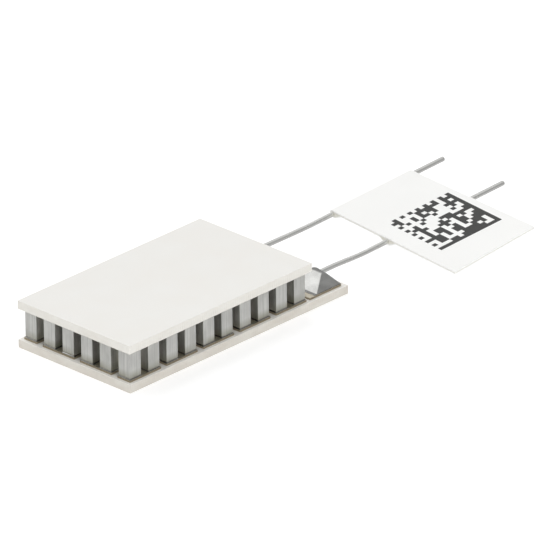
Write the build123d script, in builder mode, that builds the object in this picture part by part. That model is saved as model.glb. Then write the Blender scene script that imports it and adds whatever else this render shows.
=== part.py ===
"""Miniature single-stage thermoelectric cooler, 60 pellets, with two flagged lead wires.

The origin is the centre of the hot plate's bottom face. +X runs towards the leads, +Z is up,
from the hot side to the cold side. All lengths are in millimetres.
"""

import os

from build123d import *

# pellet grid
COLUMNS = 10
ROWS = 6
PITCH = 1.0
PELLET_SIDE = 0.6
EDGE_MARGIN = 0.2

# ceramic plates
PLATE_THICKNESS = 0.36
PLATE_CHAMFER = 0.012
LEDGE_LENGTH = 2.0
COLD_LENGTH = (COLUMNS - 1) * PITCH + PELLET_SIDE + 2 * EDGE_MARGIN
PLATE_WIDTH = (ROWS - 1) * PITCH + PELLET_SIDE + 2 * EDGE_MARGIN
HOT_LENGTH = COLD_LENGTH + LEDGE_LENGTH
PLATE_GAP = 1.28

# layers between the plates
TAB_THICKNESS = 0.08
TAB_OVERHANG = 0.05
TAB_CORNER = 0.04
SOLDER_THICKNESS = 0.03
SOLDER_SPREAD = 0.03
CAP_THICKNESS = 0.02
PELLET_HEIGHT = PLATE_GAP - 2 * (TAB_THICKNESS + SOLDER_THICKNESS + CAP_THICKNESS)

# heights of the layer boundaries
HOT_TAB_Z = PLATE_THICKNESS
HOT_SOLDER_Z = HOT_TAB_Z + TAB_THICKNESS
HOT_CAP_Z = HOT_SOLDER_Z + SOLDER_THICKNESS
PELLET_Z = HOT_CAP_Z + CAP_THICKNESS
COLD_CAP_Z = PELLET_Z + PELLET_HEIGHT
COLD_SOLDER_Z = COLD_CAP_Z + CAP_THICKNESS
COLD_TAB_Z = COLD_SOLDER_Z + SOLDER_THICKNESS
COLD_PLATE_Z = COLD_TAB_Z + TAB_THICKNESS

# terminal pads on the ledge
PAD_START_X = 4.02
PAD_END_X = 5.8
PAD_WIDTH = 1.7
PAD_CENTRE_Y = 2.0
PAD_CORNER = 0.08

# lead wires
WIRE_RADIUS = 0.1
WIRE_START_X = 4.3
WIRE_BEND_X = 6.5
LEAD_SPACING = 3.2
NEAR_LEAD_Y = -1.67
WIRE_LIFT = 0.015
WIRE_Z = HOT_SOLDER_Z + WIRE_LIFT + WIRE_RADIUS
WIRE_RUN_IN = 1.0
FREE_TAIL_START = 0.72
NEAR_WIRE_TAIL = 1.93
FAR_WIRE_TAIL = 1.64

# solder mounds over the wires on the ledge
MOUND_START_X = 4.3
MOUND_END_X = 5.77
MOUND_TOP_Z = 0.92
MOUND_TOP_LENGTH = 0.6
MOUND_TOP_WIDTH = 0.24

# label flag, folded around the far wire; its plane holds both wire axes
FLAG_ORIGIN = (9.35, -1.89, 0.70)
FLAG_HEADING = -5.3
FLAG_CLIMB = 5.8
FLAG_ROLL = 1.1
FLAG_WIDTH = 4.15
FLAG_OUTLINE = ((0, 3.5), (4.17, 3.5), (4.42, -3.65), (0.02, -3.95))
LEAF_THICKNESS = 0.06
GLUE_THICKNESS = 0.02
WIRE_CLEARANCE = 0.002


def cell_xy(cell):
    """Centre of a grid cell; cell is (column, row), counted from the corner away from the leads."""
    column, row = cell
    x = -HOT_LENGTH / 2 + EDGE_MARGIN + PELLET_SIDE / 2 + (column - 1) * PITCH
    y = -PLATE_WIDTH / 2 + EDGE_MARGIN + PELLET_SIDE / 2 + (row - 1) * PITCH
    return x, y


def series_path():
    """Cells in the order in which the current passes them, from the near lead to the far lead."""
    path = [(COLUMNS, 2)]
    path += [(column, 1) for column in range(COLUMNS, 0, -1)]
    path += [(1, row) for row in range(2, ROWS + 1)]
    for column in range(2, COLUMNS - 1):
        rows = range(2, ROWS + 1)
        path += [(column, row) for row in (reversed(rows) if column % 2 == 0 else rows)]
    path += [(9, 2), (9, 3), (10, 3), (10, 4), (9, 4), (9, 5), (9, 6), (10, 6), (10, 5)]
    return path


def save(part, name):
    """Labels a finished piece and writes it."""
    part.label = name
    export_step(part, f"parts/{name}.step")


def plate(length, centre_x, bottom_z):
    """Ceramic plate with its sharp edges barely broken."""
    with BuildPart() as blank:
        with Locations((centre_x, 0, bottom_z)):
            Box(length, PLATE_WIDTH, PLATE_THICKNESS, align=(Align.CENTER, Align.CENTER, Align.MIN))
        chamfer(blank.edges(), PLATE_CHAMFER)
    return blank.part


def tab_set(pairs, bottom_z):
    """Copper tabs, each spanning the two neighbouring cells of its pair."""
    with BuildPart() as tabs:
        with BuildSketch(Plane.XY.offset(bottom_z)):
            for first, second in pairs:
                x1, y1 = cell_xy(first)
                x2, y2 = cell_xy(second)
                with Locations(((x1 + x2) / 2, (y1 + y2) / 2)):
                    RectangleRounded(
                        abs(x1 - x2) + PELLET_SIDE + 2 * TAB_OVERHANG,
                        abs(y1 - y2) + PELLET_SIDE + 2 * TAB_OVERHANG,
                        TAB_CORNER,
                    )
        extrude(amount=TAB_THICKNESS)
    return tabs.part


def block_set(cells, side, bottom_z, height):
    """Equal square blocks standing on the given cells."""
    with BuildPart() as blocks:
        with BuildSketch(Plane.XY.offset(bottom_z)):
            with Locations(*[cell_xy(cell) for cell in cells]):
                Rectangle(side, side)
        extrude(amount=height)
    return blocks.part


def solder_set(cells, wide_z, towards):
    """Thin solder layers that spread from the cap's outline to a wider foot on the copper."""
    foot = PELLET_SIDE + 2 * SOLDER_SPREAD
    with BuildPart() as joints:
        for cell in cells:
            x, y = cell_xy(cell)
            with BuildSketch(Plane.XY.offset(wide_z)):
                with Locations((x, y)):
                    Rectangle(foot, foot)
            with BuildSketch(Plane.XY.offset(wide_z + towards * SOLDER_THICKNESS)):
                with Locations((x, y)):
                    Rectangle(PELLET_SIDE, PELLET_SIDE)
            loft()
    return joints.part


def terminal_pad(cell, side):
    """Copper pad: a wide landing on the ledge and a tongue under the end pellet."""
    x, y = cell_xy(cell)
    tongue_start = x - PELLET_SIDE / 2 - TAB_OVERHANG
    with BuildPart() as pad:
        with BuildSketch(Plane.XY.offset(HOT_TAB_Z)) as outline:
            with Locations(((PAD_START_X + PAD_END_X) / 2, side * PAD_CENTRE_Y)):
                Rectangle(PAD_END_X - PAD_START_X, PAD_WIDTH)
            with Locations(((tongue_start + PAD_START_X) / 2, y)):
                Rectangle(PAD_START_X - tongue_start, PELLET_SIDE + 2 * TAB_OVERHANG)
            fillet(outline.vertices().group_by(Axis.X)[-1], PAD_CORNER)
        extrude(amount=TAB_THICKNESS)
    return pad.part


def flag_plane():
    """Plane of the wire axes at the label: local x along the wires, local y from near to far."""
    along = Vector(1, 0, 0).rotate(Axis.Y, -FLAG_CLIMB).rotate(Axis.Z, FLAG_HEADING)
    across = Vector(0, 1, 0).rotate(Axis.X, FLAG_ROLL).rotate(Axis.Z, FLAG_HEADING)
    return Plane(origin=FLAG_ORIGIN, x_dir=along, z_dir=along.cross(across))


def lead_wire(lead_y, flag_y, tail):
    """Round wire: flat on its pad, a gentle sideways and upward bend, then straight.

    The straight run through the flag belongs to the bend's curve, so the free tail past the flag
    is one plain round pin that a connector can take.
    """
    flag = flag_plane()
    bend_start = Vector(WIRE_BEND_X, lead_y, WIRE_Z)
    bend_end = flag.from_local_coords(Vector(-WIRE_RUN_IN, flag_y, 0))
    tail_start = flag.from_local_coords(Vector(FLAG_WIDTH + FREE_TAIL_START, flag_y, 0))
    tip = flag.from_local_coords(Vector(FLAG_WIDTH + tail, flag_y, 0))
    with BuildPart() as wire:
        with BuildLine() as run:
            Line((WIRE_START_X, lead_y, WIRE_Z), bend_start)
            Spline(bend_start, bend_end, tangents=(Vector(1, 0, 0), flag.x_dir))
            Spline(bend_end, tail_start, tangents=(flag.x_dir, flag.x_dir))
            Line(tail_start, tip)
        with BuildSketch(Plane(origin=(WIRE_START_X, lead_y, WIRE_Z), z_dir=(1, 0, 0))):
            Circle(WIRE_RADIUS)
        sweep(path=run.wires()[0])
    return wire.part


def solder_mound(pad_y, lead_y, wire):
    """Solder that wets the whole landing and climbs in a hollow slope over the wire's end."""
    centre_x = (MOUND_START_X + MOUND_END_X) / 2
    length = MOUND_END_X - MOUND_START_X
    waist_z = HOT_SOLDER_Z + (MOUND_TOP_Z - HOT_SOLDER_Z) * 0.35
    with BuildPart() as mound:
        with BuildSketch(Plane.XY.offset(HOT_SOLDER_Z)):
            with Locations((centre_x, pad_y)):
                Rectangle(length, PAD_WIDTH - 0.04)
        with BuildSketch(Plane.XY.offset(waist_z)):
            with Locations((centre_x - 0.05, (pad_y + 2 * lead_y) / 3)):
                Rectangle(length * 0.72, PAD_WIDTH * 0.42)
        with BuildSketch(Plane.XY.offset(MOUND_TOP_Z)):
            with Locations((centre_x - 0.15, lead_y)):
                Rectangle(MOUND_TOP_LENGTH, MOUND_TOP_WIDTH)
        loft()
        add(wire, mode=Mode.SUBTRACT)
    return mound.part


def flag_section():
    """Middle line of the folded film, seen along the wires: x runs from near to far, y up."""
    front = WIRE_RADIUS + WIRE_CLEARANCE + LEAF_THICKNESS / 2
    back = front - LEAF_THICKNESS - GLUE_THICKNESS
    fold = LEAD_SPACING + front
    half_bump = front * 0.9
    ramp = 4 * half_bump
    return FilletPolyline(
        (FLAG_OUTLINE[-1][1] - 0.1, front),
        (fold, front),
        (fold, -front),
        (LEAD_SPACING - half_bump, -front),
        (LEAD_SPACING - ramp, back),
        (ramp, back),
        (half_bump, -front),
        (-half_bump, -front),
        (-ramp, back),
        (FLAG_OUTLINE[-1][1] - 0.1, back),
        radius=front * 0.6,
    )


def flag_sketch_plane():
    """Cross-section plane of the flag, just short of its leading edge."""
    flag = flag_plane()
    origin = flag.from_local_coords(Vector(-0.1, 0, 0))
    return Plane(origin=origin, x_dir=flag.y_dir, z_dir=flag.x_dir)


def flag_outline():
    """Block with the flag's outline as cut: its free end and trailing edge run a little askew."""
    with BuildPart() as outline:
        with BuildSketch(flag_plane()):
            with BuildLine():
                Polyline(*FLAG_OUTLINE, close=True)
            make_face()
        extrude(amount=1, both=True)
    return outline.part


def flag_film(outline):
    """Folded label film, one piece wrapped around the far wire."""
    with BuildPart() as film:
        with BuildSketch(flag_sketch_plane()):
            with BuildLine():
                flag_section()
                offset(amount=LEAF_THICKNESS / 2, side=Side.BOTH, closed=True, mode=Mode.REPLACE)
            make_face()
        extrude(amount=FLAG_WIDTH + 0.5)
        add(outline, mode=Mode.INTERSECT)
    return film.part


def flag_glue(film, outline):
    """Adhesive that fills the folded film around both wires."""
    with BuildPart() as glue:
        with BuildSketch(flag_sketch_plane()):
            with BuildLine():
                run = flag_section()
                Line(run @ 1, run @ 0)
            make_face()
            with Locations((0, 0), (LEAD_SPACING, 0)):
                Circle(WIRE_RADIUS, mode=Mode.SUBTRACT)
        extrude(amount=FLAG_WIDTH + 0.5)
        add(outline, mode=Mode.INTERSECT)
        add(film, mode=Mode.SUBTRACT)
    return glue.part


path = series_path()
cold_pairs = [(path[i], path[i + 1]) for i in range(0, len(path), 2)]
hot_pairs = [(path[i], path[i + 1]) for i in range(1, len(path) - 1, 2)]

os.makedirs("parts", exist_ok=True)

# ceramic plates: the hot one is longer by the ledge that carries the leads
save(plate(HOT_LENGTH, 0, 0), "hot_plate")
save(plate(COLD_LENGTH, -LEDGE_LENGTH / 2, COLD_PLATE_Z), "cold_plate")

# copper tabs, grouped by the row of their lower cell
for row in range(1, ROWS + 1):
    hot_row = [pair for pair in hot_pairs if min(pair[0][1], pair[1][1]) == row]
    cold_row = [pair for pair in cold_pairs if min(pair[0][1], pair[1][1]) == row]
    if hot_row:
        save(tab_set(hot_row, HOT_TAB_Z), f"hot_tabs_row_{row}")
    if cold_row:
        save(tab_set(cold_row, COLD_TAB_Z), f"cold_tabs_row_{row}")

# pellets, n-type and p-type by turns along the current path, with nickel caps and solder
n_cells = path[0::2]
p_cells = path[1::2]
for row in range(1, ROWS + 1):
    row_cells = [cell for cell in path if cell[1] == row]
    n_row = [cell for cell in n_cells if cell[1] == row]
    p_row = [cell for cell in p_cells if cell[1] == row]
    save(block_set(n_row, PELLET_SIDE, PELLET_Z, PELLET_HEIGHT), f"n_pellets_row_{row}")
    save(block_set(p_row, PELLET_SIDE, PELLET_Z, PELLET_HEIGHT), f"p_pellets_row_{row}")
    save(block_set(row_cells, PELLET_SIDE, HOT_CAP_Z, CAP_THICKNESS), f"hot_caps_row_{row}")
    save(block_set(row_cells, PELLET_SIDE, COLD_CAP_Z, CAP_THICKNESS), f"cold_caps_row_{row}")
    save(solder_set(row_cells, HOT_SOLDER_Z, 1), f"hot_solder_row_{row}")
    save(solder_set(row_cells, COLD_TAB_Z, -1), f"cold_solder_row_{row}")

# terminal pads under the first and the last pellet
near_pad = terminal_pad(path[0], -1)
far_pad = terminal_pad(path[-1], 1)
save(near_pad, "terminal_pad_near")
save(far_pad, "terminal_pad_far")

# lead wires, soldered flat on the pads and bent a little sideways and upwards beyond them
far_lead_y = NEAR_LEAD_Y + LEAD_SPACING
near_wire = lead_wire(NEAR_LEAD_Y, 0, NEAR_WIRE_TAIL)
far_wire = lead_wire(far_lead_y, LEAD_SPACING, FAR_WIRE_TAIL)
save(near_wire, "lead_wire_near")
save(far_wire, "lead_wire_far")
save(solder_mound(-PAD_CENTRE_Y, NEAR_LEAD_Y, near_wire), "lead_solder_near")
save(solder_mound(PAD_CENTRE_Y, far_lead_y, far_wire), "lead_solder_far")

# label: the printed leaf stays flat, the other leaf is pressed up around the wires
outline = flag_outline()
film = flag_film(outline)
save(film, "label_film")
save(flag_glue(film, outline), "label_glue")
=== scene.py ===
"""Looks of a miniature thermoelectric cooler: ceramic plates, pellets, tabs, leads and label flag."""

import logging
import math
import random
from dataclasses import dataclass
from enum import Enum
from typing import Any, Callable, Iterable, Optional, Sequence

import bmesh
import bpy
from mathutils import Matrix, Vector


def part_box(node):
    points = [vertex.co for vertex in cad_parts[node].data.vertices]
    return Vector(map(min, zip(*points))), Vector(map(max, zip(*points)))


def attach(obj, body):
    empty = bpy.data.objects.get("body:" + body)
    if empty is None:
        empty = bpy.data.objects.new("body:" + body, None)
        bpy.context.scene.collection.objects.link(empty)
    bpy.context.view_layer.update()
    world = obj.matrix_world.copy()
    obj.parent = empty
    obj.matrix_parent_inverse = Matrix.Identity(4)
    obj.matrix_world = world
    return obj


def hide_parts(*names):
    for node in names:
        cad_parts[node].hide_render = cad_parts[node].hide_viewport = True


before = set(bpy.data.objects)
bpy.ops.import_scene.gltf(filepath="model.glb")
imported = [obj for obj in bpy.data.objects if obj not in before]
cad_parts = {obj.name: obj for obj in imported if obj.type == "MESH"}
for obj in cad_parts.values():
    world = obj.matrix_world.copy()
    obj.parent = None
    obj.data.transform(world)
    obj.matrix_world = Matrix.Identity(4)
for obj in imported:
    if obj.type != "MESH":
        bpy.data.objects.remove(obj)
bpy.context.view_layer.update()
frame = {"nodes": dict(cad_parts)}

log = logging.getLogger("thermoelectric_module")

MM = 0.001
RUN_ATTRIBUTE = "run"
WIRE_RADIUS_MM = 0.1
SENSOR_MM = 36.0


def linear(code: str) -> tuple[float, float, float, float]:
    """Turns an sRGB hex colour into linear RGBA.

    Args:
        code: colour such as "#ECEBE7".

    Returns:
        Linear red, green, blue and an alpha of 1.
    """
    parts = [int(code[i : i + 2], 16) / 255 for i in (1, 3, 5)]
    r, g, b = [c / 12.92 if c <= 0.04045 else ((c + 0.055) / 1.055) ** 2.4 for c in parts]
    return r, g, b, 1.0


def add_node(
    tree: bpy.types.NodeTree,
    kind: str,
    inputs: Optional[dict[Any, Any]] = None,
    **settings: Any,
) -> bpy.types.Node:
    """Adds a shader node with its settings, values and links.

    Args:
        tree: node tree to add to.
        kind: Blender's node type name.
        inputs: socket name or index to a value, or to an output socket to link from.
        **settings: attributes of the node.

    Returns:
        The new node.
    """
    node = tree.nodes.new(kind)
    for name, value in settings.items():
        setattr(node, name, value)
    for name, value in (inputs or {}).items():
        if isinstance(value, bpy.types.NodeSocket):
            tree.links.new(value, node.inputs[name])
        else:
            node.inputs[name].default_value = value
    return node


@dataclass(frozen=True)
class Finish:
    """Base of every finish: a named material with one Principled shader."""

    name: str = "finish"
    colour: str = "#FFFFFF"
    roughness: float = 0.5
    metallic: float = 0.0

    def start(self) -> tuple[bpy.types.Material, bpy.types.NodeTree, bpy.types.Node, Any]:
        """Makes the material, its shader and its object coordinates.

        Returns:
            The material, its node tree, the Principled node and the Object coordinate socket.
        """
        material = bpy.data.materials.new(self.name)
        material.use_nodes = True
        tree = material.node_tree
        shader = tree.nodes["Principled BSDF"]
        shader.inputs["Base Color"].default_value = linear(self.colour)
        shader.inputs["Roughness"].default_value = self.roughness
        shader.inputs["Metallic"].default_value = self.metallic
        place = add_node(tree, "ShaderNodeTexCoord").outputs["Object"]
        return material, tree, shader, place

    def grain(
        self, tree: bpy.types.NodeTree, place: Any, size: Sequence[float], detail: float = 3.0
    ) -> Any:
        """Adds a noise whose features have real sizes.

        Args:
            tree: node tree to add to.
            place: coordinate socket in metres.
            size: feature size along x, y and z in millimetres.
            detail: octaves of the noise.

        Returns:
            The noise's value socket.
        """
        scale = Vector([1 / (s * MM) for s in size])
        mapped = add_node(tree, "ShaderNodeMapping", {"Vector": place, "Scale": scale})
        noise = add_node(
            tree, "ShaderNodeTexNoise", {"Vector": mapped.outputs[0], "Scale": 1.0, "Detail": detail}
        )
        return noise.outputs["Fac"]

    def between(self, tree: bpy.types.NodeTree, amount: Any, low: Any, high: Any) -> Any:
        """Mixes two colours.

        Args:
            tree: node tree to add to.
            amount: socket that is 0 for the first colour and 1 for the second.
            low: first colour, as a hex code or a socket.
            high: second colour, as a hex code or a socket.

        Returns:
            The mixed colour's socket.
        """
        low, high = [linear(c) if isinstance(c, str) else c for c in (low, high)]
        return add_node(tree, "ShaderNodeMix", {0: amount, 6: low, 7: high}, data_type="RGBA").outputs[2]

    def spread(
        self, tree: bpy.types.NodeTree, value: Any, source: Sequence[float], target: Sequence[float]
    ) -> Any:
        """Maps a value from one range to another, clamped.

        Args:
            tree: node tree to add to.
            value: socket to map.
            source: range that the value has.
            target: range that it gets.

        Returns:
            The mapped value's socket.
        """
        ranged = add_node(
            tree,
            "ShaderNodeMapRange",
            {
                "Value": value,
                "From Min": source[0],
                "From Max": source[1],
                "To Min": target[0],
                "To Max": target[1],
            },
        )
        return ranged.outputs[0]

    def upright(self, tree: bpy.types.NodeTree, steep: float, level: float) -> Any:
        """Tells a plate's upright edges from its level faces.

        Args:
            tree: node tree to add to.
            steep: upward part of the normal at which an edge is fully an edge.
            level: upward part of the normal at which a face is fully a face.

        Returns:
            Socket that is 1 on the edges and 0 on the faces.
        """
        normal = add_node(tree, "ShaderNodeNewGeometry").outputs["Normal"]
        up = add_node(tree, "ShaderNodeSeparateXYZ", {0: normal}).outputs["Z"]
        flat = add_node(tree, "ShaderNodeMath", {0: up}, operation="ABSOLUTE").outputs[0]
        return self.spread(tree, flat, (steep, level), (1, 0))

    def relief(self, tree: bpy.types.NodeTree, shader: Any, height: Any, depth_um: float) -> None:
        """Links a height socket to the shader as bump of a real depth in micrometres."""
        bump = add_node(
            tree, "ShaderNodeBump", {"Height": height, "Distance": depth_um * 1e-6, "Strength": 1.0}
        )
        tree.links.new(bump.outputs[0], shader.inputs["Normal"])

    def make(self) -> bpy.types.Material:
        """Builds the material.

        Returns:
            The finished material.
        """
        return self.start()[0]


@dataclass(frozen=True)
class Alumina(Finish):
    """Alumina ceramic, tape cast, fired and snapped along laser-scribed lines.

    The eye sees a dense warm white with a faint cloudiness, a dry sheen on the faces and upright
    edges painted darker and creamier than the faces as shade, with a row of fine scribe marks.
    """

    name: str = "fired_white_alumina"
    colour: str = "#F1F0EC"
    shaded_edge_colour: str = "#E4E1D9"
    shaded_edge_pale: str = "#EAE8E1"
    roughness: float = 0.55
    cloud_mm: float = 1.6
    grit_mm: float = 0.05
    scribe_pitch_mm: float = 0.12

    def make(self) -> bpy.types.Material:
        """Builds the material.

        Returns:
            The finished material.
        """
        material, tree, shader, place = self.start()
        shader.inputs["IOR"].default_value = 1.76
        cloud = self.grain(tree, place, (self.cloud_mm,) * 3, 4.0)
        face = self.between(tree, self.spread(tree, cloud, (0.3, 0.7), (0, 1)), "#F0EEE9", self.colour)
        # fired grains are a few micrometres across, so the grit is drawn coarser than it is
        grit = self.grain(tree, place, (self.grit_mm,) * 3, 2.0)
        edge = self.upright(tree, 0.3, 0.7)
        blotch = self.grain(tree, place, (0.8, 0.8, 0.3), 3.0)
        pale = self.spread(tree, blotch, (0.35, 0.65), (0, 1))
        # painted shade: the plates' upright edges are drawn darker and creamier than the top faces, with
        # paler and darker blotches
        rim = self.between(tree, pale, self.shaded_edge_colour, self.shaded_edge_pale)
        tree.links.new(self.between(tree, edge, face, rim), shader.inputs["Base Color"])
        tree.links.new(self.spread(tree, grit, (0.3, 0.7), (0.48, 0.64)), shader.inputs["Roughness"])
        along = add_node(tree, "ShaderNodeSeparateXYZ", {0: place})
        run = add_node(
            tree, "ShaderNodeMath", {0: along.outputs["X"], 1: along.outputs["Y"]}, operation="ADD"
        )
        phase = add_node(
            tree,
            "ShaderNodeMath",
            {0: run.outputs[0], 1: 2 * math.pi / (self.scribe_pitch_mm * MM)},
            operation="MULTIPLY",
        )
        wave = add_node(tree, "ShaderNodeMath", {0: phase.outputs[0]}, operation="SINE").outputs[0]
        marks = add_node(tree, "ShaderNodeMath", {0: wave, 1: edge}, operation="MULTIPLY").outputs[0]
        height = add_node(tree, "ShaderNodeMath", {0: grit, 1: marks}, operation="ADD").outputs[0]
        self.relief(tree, shader, height, 2.5)
        return material


@dataclass(frozen=True)
class Telluride(Finish):
    """Bismuth telluride, zone-grown and sawn into square pellets.

    The eye sees a soft silver grey with upright saw lines; painted shade darkens it, in patches,
    near the foot. The lines of a diamond saw are finer than line_mm, so they are drawn coarser here.
    """

    name: str = "sawn_bismuth_telluride"
    colour: str = "#C9C9C5"
    dark: str = "#A9A9A4"
    foot_shade: str = "#A3A28E"
    roughness: float = 0.42
    metallic: float = 0.9
    line_mm: float = 0.035
    foot_mm: float = 0.49
    foot_shade_top_mm: float = 0.82

    def make(self) -> bpy.types.Material:
        """Builds the material.

        Returns:
            The finished material.
        """
        material, tree, shader, place = self.start()
        lines = self.grain(tree, place, (self.line_mm, self.line_mm, 2.5), 2.0)
        patch = self.grain(tree, place, (0.45, 0.45, 0.9), 3.0)
        mixed = add_node(tree, "ShaderNodeMath", {0: lines, 1: patch}, operation="MULTIPLY").outputs[0]
        tone = self.spread(tree, mixed, (0.14, 0.38), (0, 1))
        metal = self.between(tree, tone, self.dark, self.colour)
        height = add_node(tree, "ShaderNodeSeparateXYZ", {0: place}).outputs["Z"]
        # painted shade: the pellets are drawn darker and more olive towards the foot, in patches
        low = self.spread(tree, height, (self.foot_mm * MM, self.foot_shade_top_mm * MM), (0.75, 0))
        spots = self.spread(tree, patch, (0.35, 0.6), (0.35, 1))
        amount = add_node(tree, "ShaderNodeMath", {0: low, 1: spots}, operation="MULTIPLY").outputs[0]
        tree.links.new(self.between(tree, amount, metal, self.foot_shade), shader.inputs["Base Color"])
        tree.links.new(self.spread(tree, patch, (0.3, 0.7), (0.36, 0.5)), shader.inputs["Roughness"])
        self.relief(tree, shader, lines, 3.0)
        return material


@dataclass(frozen=True)
class PlatedCopper(Finish):
    """Copper pads, etched and tin plated.

    The eye sees a dull creamy tin on top; the etched edges are painted darker and browner as shade.
    """

    name: str = "tin_plated_copper"
    colour: str = "#D2CCBC"
    # side is a painted shade colour for the pads' upright edges
    side: str = "#A79C88"
    roughness: float = 0.45
    metallic: float = 0.95
    crystal_mm: float = 0.06

    def make(self) -> bpy.types.Material:
        """Builds the material.

        Returns:
            The finished material.
        """
        material, tree, shader, place = self.start()
        crystal = self.grain(tree, place, (self.crystal_mm,) * 3, 3.0)
        tin = self.between(tree, self.spread(tree, crystal, (0.3, 0.7), (0, 1)), "#BDB6A5", self.colour)
        edge = self.upright(tree, 0.2, 0.75)
        # painted shade: the pads' upright edges are drawn darker and browner than their tops
        tree.links.new(self.between(tree, edge, tin, self.side), shader.inputs["Base Color"])
        tree.links.new(self.spread(tree, crystal, (0.3, 0.7), (0.35, 0.55)), shader.inputs["Roughness"])
        self.relief(tree, shader, crystal, 2.0)
        return material


@dataclass(frozen=True)
class TinSolder(Finish):
    """Reflowed tin solder.

    The eye sees bright, fluid metal with a faint orange peel and a few dull frosted patches.
    """

    name: str = "reflowed_tin_solder"
    colour: str = "#A2A2A0"
    roughness: float = 0.2
    metallic: float = 1.0
    frost_mm: float = 0.6
    peel_mm: float = 0.14

    def make(self) -> bpy.types.Material:
        """Builds the material.

        Returns:
            The finished material.
        """
        material, tree, shader, place = self.start()
        frost = self.grain(tree, place, (self.frost_mm,) * 3, 4.0)
        peel = self.grain(tree, place, (self.peel_mm,) * 3, 2.0)
        metal = self.between(tree, self.spread(tree, frost, (0.35, 0.65), (0, 1)), "#8F8F8D", self.colour)
        tree.links.new(metal, shader.inputs["Base Color"])
        tree.links.new(self.spread(tree, frost, (0.4, 0.75), (0.12, 0.24)), shader.inputs["Roughness"])
        self.relief(tree, shader, peel, 0.8)
        return material


@dataclass(frozen=True)
class Nickel(Finish):
    """Electroless nickel, plated on the pellet ends: a smooth, slightly yellow grey."""

    name: str = "plated_nickel"
    colour: str = "#B5B1A6"
    roughness: float = 0.35
    metallic: float = 1.0

    def make(self) -> bpy.types.Material:
        """Builds the material.

        Returns:
            The finished material.
        """
        material, tree, shader, place = self.start()
        haze = self.grain(tree, place, (0.12,) * 3, 3.0)
        tree.links.new(
            self.between(tree, self.spread(tree, haze, (0.3, 0.7), (0, 1)), "#9F9B90", self.colour),
            shader.inputs["Base Color"],
        )
        tree.links.new(self.spread(tree, haze, (0.3, 0.7), (0.3, 0.42)), shader.inputs["Roughness"])
        return material


@dataclass(frozen=True)
class TinnedWire(Finish):
    """Drawn copper wire with a tin coat.

    The eye sees a bright grey rod with hair-fine draw lines along it.
    """

    name: str = "tinned_copper_wire"
    colour: str = "#F0F0ED"
    roughness: float = 0.2
    metallic: float = 1.0
    line_mm: float = 0.03

    def make(self) -> bpy.types.Material:
        """Builds the material.

        Returns:
            The finished material.
        """
        material, tree, shader, place = self.start()
        run = add_node(tree, "ShaderNodeAttribute", attribute_name=RUN_ATTRIBUTE).outputs["Vector"]
        lines = self.grain(tree, run, (2.5, self.line_mm, self.line_mm), 2.0)
        haze = self.grain(tree, place, (0.5,) * 3, 3.0)
        tree.links.new(
            self.between(tree, self.spread(tree, lines, (0.3, 0.7), (0, 1)), "#E0E0DD", self.colour),
            shader.inputs["Base Color"],
        )
        tree.links.new(self.spread(tree, haze, (0.3, 0.7), (0.2, 0.3)), shader.inputs["Roughness"])
        self.relief(tree, shader, lines, 0.6)
        return material


@dataclass(frozen=True)
class LabelFilm(Finish):
    """Matt white polyester label film: an even, slightly satin white with a very fine tooth."""

    name: str = "matt_white_label_film"
    colour: str = "#F7F7F5"
    roughness: float = 0.6
    tooth_mm: float = 0.07

    def make(self) -> bpy.types.Material:
        """Builds the material.

        Returns:
            The finished material.
        """
        material, tree, shader, place = self.start()
        shader.inputs["IOR"].default_value = 1.57
        tooth = self.grain(tree, place, (self.tooth_mm,) * 3, 3.0)
        sweep = self.grain(tree, place, (2.2,) * 3, 1.0)
        tree.links.new(
            self.between(tree, self.spread(tree, sweep, (0.3, 0.7), (0, 1)), "#F9F9F7", "#FCFCFA"),
            shader.inputs["Base Color"],
        )
        tree.links.new(self.spread(tree, tooth, (0.3, 0.7), (0.52, 0.68)), shader.inputs["Roughness"])
        self.relief(tree, shader, tooth, 1.5)
        return material


@dataclass(frozen=True)
class LabelGlue(Finish):
    """Clear acrylic label adhesive seen edge-on: a slightly yellow, glossy line."""

    name: str = "acrylic_label_glue"
    colour: str = "#DAD8CC"
    roughness: float = 0.3

    def make(self) -> bpy.types.Material:
        """Builds the material.

        Returns:
            The finished material.
        """
        material, tree, shader, place = self.start()
        shader.inputs["IOR"].default_value = 1.47
        haze = self.grain(tree, place, (0.15,) * 3, 2.0)
        tree.links.new(
            self.between(tree, self.spread(tree, haze, (0.3, 0.7), (0, 1)), "#DAD8CC", "#EAE8DF"),
            shader.inputs["Base Color"],
        )
        return material


@dataclass(frozen=True)
class RibbonInk(Finish):
    """Thermal-transfer resin ink: a flat soft black with thin, slightly greyer spots."""

    name: str = "thermal_ribbon_ink"
    colour: str = "#2C2C29"
    roughness: float = 0.5

    def make(self) -> bpy.types.Material:
        """Builds the material.

        Returns:
            The finished material.
        """
        material, tree, shader, place = self.start()
        thin = self.grain(tree, place, (0.06,) * 3, 3.0)
        tree.links.new(
            self.between(tree, self.spread(tree, thin, (0.35, 0.75), (0, 1)), "#1D1D1B", "#2E2E2B"),
            shader.inputs["Base Color"],
        )
        return material


class Corner(Enum):
    """How strongly the edges of a carried-over piece are broken, in millimetres."""

    CERAMIC = 0.02
    PELLET = 0.012
    TAB = 0.028
    THIN = 0.008


def finish_piece(
    mesh: bmesh.types.BMesh, name: str, material: bpy.types.Material, smooth: bool
) -> bpy.types.Object:
    """Turns a bmesh into a linked object with one material.

    Args:
        mesh: the finished bmesh, in row-frame metres; it is freed.
        name: name of the piece.
        material: its material.
        smooth: whether its faces are shaded smooth.

    Returns:
        The new object at the origin.
    """
    bmesh.ops.recalc_face_normals(mesh, faces=mesh.faces)
    for face in mesh.faces:
        face.smooth = smooth
    data = bpy.data.meshes.new(name)
    mesh.to_mesh(data)
    mesh.free()
    data.materials.append(material)
    piece = bpy.data.objects.new(name, data)
    bpy.context.scene.collection.objects.link(piece)
    return piece


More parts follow.
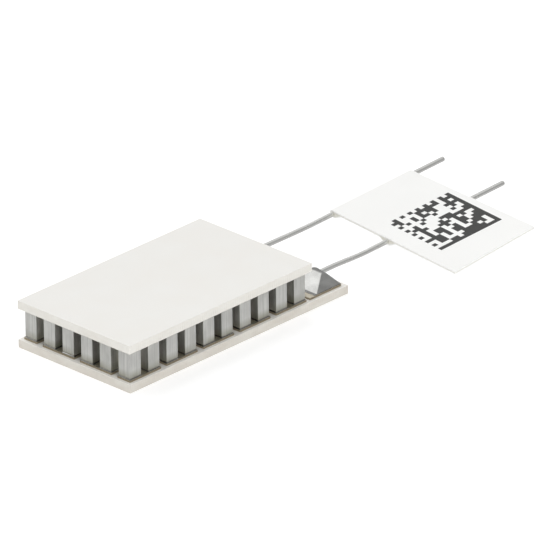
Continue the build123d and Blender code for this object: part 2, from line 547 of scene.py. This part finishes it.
@dataclass
class CarriedNodes:
    """CAD nodes that keep their shape and get broken edges and a finish."""

    nodes: dict[str, bpy.types.Object]

    def dress(self, names: Iterable[str], material: bpy.types.Material, corner: Corner) -> None:
        """Gives the named nodes a material and small bevels.

        Args:
            names: CAD node names.
            material: the material to assign.
            corner: size of the broken edge.
        """
        for name in names:
            piece = self.nodes[name]
            piece.data.materials.clear()
            piece.data.materials.append(material)
            weld = piece.modifiers.new("close seams", "WELD")
            weld.merge_threshold = 1e-7
            bevel = piece.modifiers.new("broken edges", "BEVEL")
            bevel.width = corner.value * MM
            bevel.segments = 2
            bevel.limit_method = "ANGLE"
            bevel.angle_limit = math.radians(35)
            bevel.harden_normals = False
            log.info("%s dressed in %s", name, material.name)


@dataclass
class FlagPlane:
    """Tilted plane that holds both wire axes at the label; the same numbers as in the CAD."""

    origin_mm: tuple[float, float, float] = (9.35, -1.89, 0.70)
    heading_deg: float = -5.3
    climb_deg: float = 5.8
    roll_deg: float = 1.1

    def axes(self) -> tuple[Vector, Vector, Vector]:
        """Works out the plane's directions.

        Returns:
            Unit vectors along the wires, across them and out of the plane.
        """
        turn = Matrix.Rotation(math.radians(self.heading_deg), 3, "Z")
        along = turn @ Matrix.Rotation(math.radians(-self.climb_deg), 3, "Y") @ Vector((1, 0, 0))
        across = turn @ Matrix.Rotation(math.radians(self.roll_deg), 3, "X") @ Vector((0, 1, 0))
        return along, across, along.cross(across)

    def point(self, u: float, v: float, n: float) -> Vector:
        """Row-frame point, in metres, from plane coordinates in millimetres."""
        along, across, out = self.axes()
        return (Vector(self.origin_mm) + along * u + across * v + out * n) * MM


@dataclass
class LeadWires:
    """The two drawn wires: flat on their pads, bent a little, then straight to a nipped end.

    buried is how far into the solder the drawn part starts, where the mound covers it.
    """

    plane: FlagPlane
    radius_mm: float = WIRE_RADIUS_MM
    bend_x_mm: float = 6.5
    run_in_mm: float = 1.0
    spacing_mm: float = 3.2
    nip_mm: float = 0.025
    buried_mm: float = 0.62
    bend_steps: int = 24
    sides: int = 28

    def route(self, node: str, flag_v: float) -> list[Vector]:
        """Centre line of a wire.

        Args:
            node: CAD node of the wire.
            flag_v: its place across the flag plane, in millimetres.

        Returns:
            Points from the pad to the free end, in metres.
        """
        low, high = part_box(node)
        radius = self.radius_mm * MM
        start = Vector((low.x + self.buried_mm * MM, high.y - radius, low.z + radius))
        knee = Vector((self.bend_x_mm * MM, start.y, start.z))
        straight = self.plane.point(-self.run_in_mm, flag_v, 0)
        along = self.plane.axes()[0]
        tip = straight + along * ((high.x - radius * abs(along.z) - straight.x) / along.x)
        reach = (straight - knee).length / 3
        a, b, c, d = knee, knee + Vector((reach, 0, 0)), straight - along * reach, straight
        points = [start]
        for step in range(self.bend_steps + 1):
            t = step / self.bend_steps
            points.append(a * (1 - t) ** 3 + b * 3 * t * (1 - t) ** 2 + c * 3 * t * t * (1 - t) + d * t**3)
        points.append(tip)
        return points

    def build(self, node: str, flag_v: float, material: bpy.types.Material) -> bpy.types.Object:
        """Bridges rings along the route, closes it and rounds the nipped ends.

        Args:
            node: CAD node that the wire stands for.
            flag_v: its place across the flag plane, in millimetres.
            material: the wire's finish.

        Returns:
            The wire.
        """
        points = self.route(node, flag_v)
        frames = [self.facing(points, index) for index in range(len(points))]
        mesh = bmesh.new()
        rings = []
        for index, matrix in enumerate(frames):
            made = bmesh.ops.create_circle(
                mesh, cap_ends=index in (0, len(points) - 1), segments=self.sides,
                radius=self.radius_mm * MM, matrix=matrix,
            )
            rings.append(list({edge for vert in made["verts"] for edge in vert.link_edges}))
        for ring, after in zip(rings, rings[1:]):
            bmesh.ops.bridge_loops(mesh, edges=ring + after)
        bmesh.ops.bevel(
            mesh, geom=rings[0] + rings[-1], offset=self.nip_mm * MM, offset_type="OFFSET",
            affect="EDGES", segments=3, profile=0.5, material=-1, clamp_overlap=True,
        )
        self.mark_run(mesh, frames)
        piece = finish_piece(mesh, node + "_drawn", material, True)
        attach(piece, "root")
        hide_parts(node)
        return piece

    def facing(self, points: Sequence[Vector], index: int) -> Matrix:
        """Frame of one ring.

        Args:
            points: the wire's centre line.
            index: the ring's point on it.

        Returns:
            Frame at that point, level across the wire and looking along it.
        """
        before, after = points[max(index - 1, 0)], points[min(index + 1, len(points) - 1)]
        along = (after - before).normalized()
        side = Vector((0, 0, 1)).cross(along).normalized()
        turn = Matrix((side, along.cross(side), along)).transposed().to_4x4()
        return Matrix.Translation(points[index]) @ turn

    def mark_run(self, mesh: bmesh.types.BMesh, frames: Sequence[Matrix]) -> None:
        """Stores each vertex's place along and around the wire, which the draw lines follow.

        Args:
            mesh: the wire's bmesh.
            frames: frames of its rings, in order.
        """
        layer = mesh.verts.layers.float_vector.new(RUN_ATTRIBUTE)
        starts = [0.0]
        for here, there in zip(frames, frames[1:]):
            starts.append(starts[-1] + (there.translation - here.translation).length)
        for vert in mesh.verts:
            nearest = min(range(len(frames)), key=lambda i: (frames[i].translation - vert.co).length)
            place = frames[nearest].inverted() @ vert.co
            vert[layer] = Vector((starts[nearest] + place.z, place.x, place.y))


@dataclass
class SolderMound:
    """Solder that wets a landing and climbs in soft slopes to a low crown over the wire.

    set_back is the flat film before the climb starts, crown the height of its top above the
    film, exit its height where the wire leaves, and each slope is a rise per unit of run from
    one side of the landing.
    """

    set_back_mm: float = 0.15
    skirt_mm: float = 0.012
    crown_mm: float = 0.38
    exit_mm: float = 0.23
    front_slope: float = 0.432
    near_slope: float = 0.644
    far_slope: float = 1.0
    end_slope: float = 1.07
    rounding_mm: float = 0.07
    cells: int = 72

    def meet(self, one: float, other: float) -> float:
        """Lower of two slopes, rounded where they meet."""
        soft = max(self.rounding_mm - abs(one - other), 0.0)
        return min(one, other) - soft * soft / (4 * self.rounding_mm)

    def height(self, x: float, y: float, low: Vector, high: Vector, lead_y: float) -> float:
        """Height of the solder's skin at a point of the landing.

        Args:
            x: place along the wire, in metres.
            y: place across the wire, in metres.
            low: lowest corner of the landing's solder.
            high: highest corner of the landing's solder.
            lead_y: the wire's line, in metres.

        Returns:
            Height in metres above the row frame's ground.
        """
        reach = (high.y - lead_y) if y > lead_y else (lead_y - low.y)
        slopes = (
            ((x - low.x) / MM - self.set_back_mm) * self.front_slope,
            (y - low.y) / MM * self.near_slope,
            (high.y - y) / MM * self.far_slope,
            (1 - abs(y - lead_y) / reach) * self.exit_mm + (high.x - x) / MM * self.end_slope,
        )
        rise = self.crown_mm
        for slope in slopes:
            rise = self.meet(rise, slope)
        return low.z + (self.skirt_mm + max(0.0, rise)) * MM

    def build(self, node: str, wire_node: str, material: bpy.types.Material) -> bpy.types.Object:
        """Raises a fine grid into the mound and closes it down to the pad.

        Args:
            node: CAD node that the mound stands for.
            wire_node: CAD node of the wire that it holds.
            material: the solder's finish.

        Returns:
            The mound.
        """
        low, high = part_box(node)
        lead_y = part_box(wire_node)[1].y - WIRE_RADIUS_MM * MM
        mesh = bmesh.new()
        bmesh.ops.create_grid(mesh, x_segments=self.cells, y_segments=self.cells, size=0.5)
        size, middle = high - low, (low + high) / 2
        for vert in mesh.verts:
            x, y = middle.x + vert.co.x * size.x, middle.y + vert.co.y * size.y
            vert.co = Vector((x, y, self.height(x, y, low, high, lead_y)))
        rim = [e for e in mesh.edges if e.is_boundary]
        wall = bmesh.ops.extrude_edge_only(mesh, edges=rim)
        foot = [v for v in wall["geom"] if isinstance(v, bmesh.types.BMVert)]
        for vert in foot:
            vert.co.z = low.z
        bmesh.ops.holes_fill(mesh, edges=[e for e in mesh.edges if e.is_boundary], sides=0)
        piece = finish_piece(mesh, node + "_reflowed", material, True)
        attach(piece, "root")
        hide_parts(node)
        return piece


@dataclass
class PrintedCode:
    """A square code of a generic, meaningless pattern, printed on the flag's upper leaf."""

    plane: FlagPlane
    cells: int = 16
    side_mm: float = 3.16
    centre_mm: tuple[float, float] = (2.36, -0.74)
    surface_mm: float = 0.1625
    ink_mm: float = 0.003
    seed: int = 11

    def is_dark(self, column: int, row: int, dice: random.Random) -> bool:
        """Decides a cell: two solid sides, two dotted sides and chance inside.

        Args:
            column: the cell's place along the wires.
            row: the cell's place across them.
            dice: the seeded random source, which every cell draws from once.

        Returns:
            Whether the cell is inked.
        """
        draw = dice.random() < 0.5
        last = self.cells - 1
        if column == last or row == 0:
            return True
        if row == last:
            return column % 2 == 1
        if column == 0:
            return row % 2 == 0
        return draw

    def build(self, material: bpy.types.Material) -> bpy.types.Object:
        """Keeps the inked cells of a grid and gives the ink its thickness.

        Args:
            material: the ink.

        Returns:
            The printed code.
        """
        dice = random.Random(self.seed)
        mesh = bmesh.new()
        bmesh.ops.create_grid(mesh, x_segments=self.cells, y_segments=self.cells, size=self.side_mm / 2)
        cell = self.side_mm / self.cells
        dark = {
            (column, row)
            for row in range(self.cells)
            for column in range(self.cells)
            if self.is_dark(column, row, dice)
        }
        blank = []
        for face in mesh.faces:
            centre = face.calc_center_median()
            column = int((centre.x + self.side_mm / 2) / cell)
            row = int((centre.y + self.side_mm / 2) / cell)
            if (column, row) not in dark:
                blank.append(face)
        bmesh.ops.delete(mesh, geom=blank, context="FACES")
        grown = bmesh.ops.extrude_face_region(mesh, geom=mesh.faces[:])
        top = [v for v in grown["geom"] if isinstance(v, bmesh.types.BMVert)]
        bmesh.ops.translate(mesh, verts=top, vec=Vector((0, 0, self.ink_mm)))
        u0, v0 = self.centre_mm
        for vert in mesh.verts:
            vert.co = self.plane.point(u0 + vert.co.x, v0 + vert.co.y, self.surface_mm + vert.co.z)
        piece = finish_piece(mesh, "label_print", material, False)
        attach(piece, "root")
        return piece


@dataclass(frozen=True)
class SoftBox:
    """A round soft lamp aimed at the middle of the object; lengths in metres."""

    name: str
    place: tuple[float, float, float]
    size: float
    watts: float


@dataclass(frozen=True)
class RoomPatch:
    """A part of the room that is darker or brighter than the rest, such as a card or a window.

    towards is its direction from the bench; core and rim are the cosines where it is full and
    where it has faded out; light is its brightness against the room's.
    """

    towards: tuple[float, float, float]
    rim: float
    core: float
    light: float


@dataclass
class Studio:
    """Pale floor, soft lights and the camera."""

    azimuth_deg: float = -45.78
    elevation_deg: float = 25.42
    roll_deg: float = -0.75
    focus_mm: tuple[float, float, float] = (-0.8, 0.2, 1.0)
    shift_mm: tuple[float, float] = (4.2, 1.034)
    distance_mm: float = 460.0
    frame_mm: float = 21.086
    room: tuple[tuple[float, float], ...] = (
        (0.0, 0.64), (0.3, 0.6), (0.42, 0.4), (0.5, 0.45), (0.56, 0.67), (0.7, 0.70), (1.0, 0.66)
    )
    patches: tuple[RoomPatch, ...] = (
        RoomPatch((0.46, -0.74, 0.48), 0.86, 0.95, 0.55),
        RoomPatch((0.10, 0.66, 0.74), 0.88, 0.96, 3.5),
    )
    lamps: tuple[SoftBox, ...] = (
        SoftBox("key", (-0.06, -0.19, 0.14), 0.16, 0.13),
        SoftBox("overhead", (-0.13, 0.02, 0.23), 0.18, 0.01),
    )
    aim: tuple[float, float, float] = (0.003, 0.0, 0.0)
    floor_half_m: float = 1.5
    floor_gap_m: float = 0.00001
    floor_glow: float = 0.32

    def camera(self) -> None:
        """Sets a long-lens camera, level apart from a slight roll."""
        a, e = math.radians(self.azimuth_deg), math.radians(self.elevation_deg)
        back = Vector((math.sin(a) * math.cos(e), -math.cos(a) * math.cos(e), math.sin(e)))
        right = Vector((0, 0, 1)).cross(back).normalized()
        up = back.cross(right)
        roll = math.radians(self.roll_deg)
        x_axis = right * math.cos(roll) + up * math.sin(roll)
        y_axis = up * math.cos(roll) - right * math.sin(roll)
        middle = Vector(self.focus_mm) + x_axis * self.shift_mm[0] + y_axis * self.shift_mm[1]
        data = bpy.data.cameras.new("camera")
        data.sensor_width = SENSOR_MM
        data.lens = self.distance_mm / self.frame_mm * SENSOR_MM
        data.clip_start = 0.05
        data.clip_end = 5.0
        camera = bpy.data.objects.new("camera", data)
        turn = Matrix((x_axis, y_axis, back)).transposed().to_4x4()
        camera.matrix_world = Matrix.Translation((middle + back * self.distance_mm) * MM) @ turn
        bpy.context.scene.collection.objects.link(camera)
        bpy.context.scene.camera = camera

    def floor(self) -> None:
        """Lays a plain pale floor under the hot plate."""
        mesh = bmesh.new()
        bmesh.ops.create_grid(mesh, x_segments=1, y_segments=1, size=self.floor_half_m)
        bmesh.ops.translate(mesh, verts=mesh.verts, vec=Vector((0, 0, -self.floor_gap_m)))
        material = bpy.data.materials.new("white_sweep_paper")
        material.use_nodes = True
        shader = material.node_tree.nodes["Principled BSDF"]
        shader.inputs["Base Color"].default_value = (0.9, 0.9, 0.9, 1)
        shader.inputs["Roughness"].default_value = 0.9
        shader.inputs["Emission Color"].default_value = (1, 1, 1, 1)
        shader.inputs["Emission Strength"].default_value = self.floor_glow
        sheet = finish_piece(mesh, "floor", material, False)
        # the metal mirrors the darker room below the bench instead of the bright paper
        sheet.visible_glossy = False

    def light(self) -> None:
        """Hangs the soft boxes."""
        for box in self.lamps:
            data = bpy.data.lights.new(box.name, "AREA")
            data.shape = "DISK"
            data.size = box.size
            data.energy = box.watts
            lamp = bpy.data.objects.new(box.name, data)
            lamp.location = box.place
            lamp.rotation_euler = (Vector(self.aim) - Vector(box.place)).to_track_quat("-Z", "Y").to_euler()
            bpy.context.scene.collection.objects.link(lamp)

    def surround(self) -> None:
        """Sets a pale room, with its brighter and darker patches, around the bench."""
        world = bpy.data.worlds.new("pale_room")
        world.use_nodes = True
        tree = world.node_tree
        ray = add_node(tree, "ShaderNodeTexCoord").outputs["Generated"]
        rise = add_node(tree, "ShaderNodeSeparateXYZ", {0: ray}).outputs["Z"]
        share = add_node(tree, "ShaderNodeMapRange", {"Value": rise, "From Min": -1.0}).outputs[0]
        ramp = add_node(tree, "ShaderNodeValToRGB", {0: share})
        bar = ramp.color_ramp
        while len(bar.elements) < len(self.room):
            bar.elements.new(0.5)
        for element, (place, value) in zip(bar.elements, self.room):
            element.position = place
            element.color = (value, value, value, 1)
        lit = ramp.outputs[0]
        for patch in self.patches:
            toward = add_node(
                tree, "ShaderNodeVectorMath", {0: ray, 1: Vector(patch.towards).normalized()},
                operation="DOT_PRODUCT",
            ).outputs["Value"]
            share = add_node(
                tree, "ShaderNodeMapRange",
                {
                    "Value": toward,
                    "From Min": patch.rim,
                    "From Max": patch.core,
                    "To Min": 1.0,
                    "To Max": patch.light,
                },
                interpolation_type="SMOOTHSTEP",
            ).outputs[0]
            scaled = add_node(tree, "ShaderNodeVectorMath", {0: lit, "Scale": share}, operation="SCALE")
            lit = scaled.outputs[0]
        tree.links.new(lit, tree.nodes["Background"].inputs["Color"])
        bpy.context.scene.world = world
        bpy.context.scene.view_settings.view_transform = "Standard"


def group(match: Callable[[str], bool]) -> list[str]:
    """Names of the CAD nodes that match a test, in order."""
    return sorted(name for name in frame["nodes"] if match(name))


def main() -> None:
    """Builds and dresses the module, then the studio."""
    logging.basicConfig(level=logging.INFO, format="%(name)s: %(message)s")
    carried = CarriedNodes(frame["nodes"])
    solder, wire = TinSolder().make(), TinnedWire().make()
    p_type = Telluride(name="p_bismuth_telluride", colour="#F0F0EC", dark="#D2D2CD").make()
    n_type = Telluride(name="n_bismuth_telluride", colour="#F4F4F0", dark="#D8D8D4").make()
    # painted shade: the hot plate's faces and edges are drawn darker and warmer than the cold plate's
    hot_plate_shaded_alumina = Alumina(
        name="hot_plate_alumina_painted_shade", colour="#EDEAE4", shaded_edge_colour="#D6D0C6", shaded_edge_pale="#DEDAD1"
    )
    copper = group(lambda n: "_tabs_" in n or n.startswith("terminal_pad"))
    plan = (
        (["cold_plate"], Alumina().make(), "alumina", Corner.CERAMIC),
        (["hot_plate"], hot_plate_shaded_alumina.make(), "alumina", Corner.CERAMIC),
        (group(lambda n: n.startswith("p_pellets")), p_type, "p_telluride", Corner.PELLET),
        (group(lambda n: n.startswith("n_pellets")), n_type, "n_telluride", Corner.PELLET),
        (copper, PlatedCopper().make(), "plated_copper", Corner.TAB),
        (group(lambda n: "_caps_" in n), Nickel().make(), "nickel", Corner.THIN),
        (group(lambda n: "_solder_row" in n), solder, "solder", Corner.THIN),
        (["label_film"], LabelFilm().make(), "label_film", Corner.THIN),
        (["label_glue"], LabelGlue().make(), "label_glue", Corner.THIN),
    )
    for names, material, slot, corner in plan:
        carried.dress(names, material, corner)
    plane = FlagPlane()
    wires = LeadWires(plane)
    mound = SolderMound()
    for side, flag_v in (("near", 0.0), ("far", wires.spacing_mm)):
        log.info("%s built", wires.build(f"lead_wire_{side}", flag_v, wire).name)
        log.info("%s built", mound.build(f"lead_solder_{side}", f"lead_wire_{side}", solder).name)
    log.info("%s built", PrintedCode(plane).build(RibbonInk().make()).name)
    studio = Studio()
    studio.camera()
    studio.floor()
    studio.light()
    studio.surround()


if __name__ == "__main__":
    main()
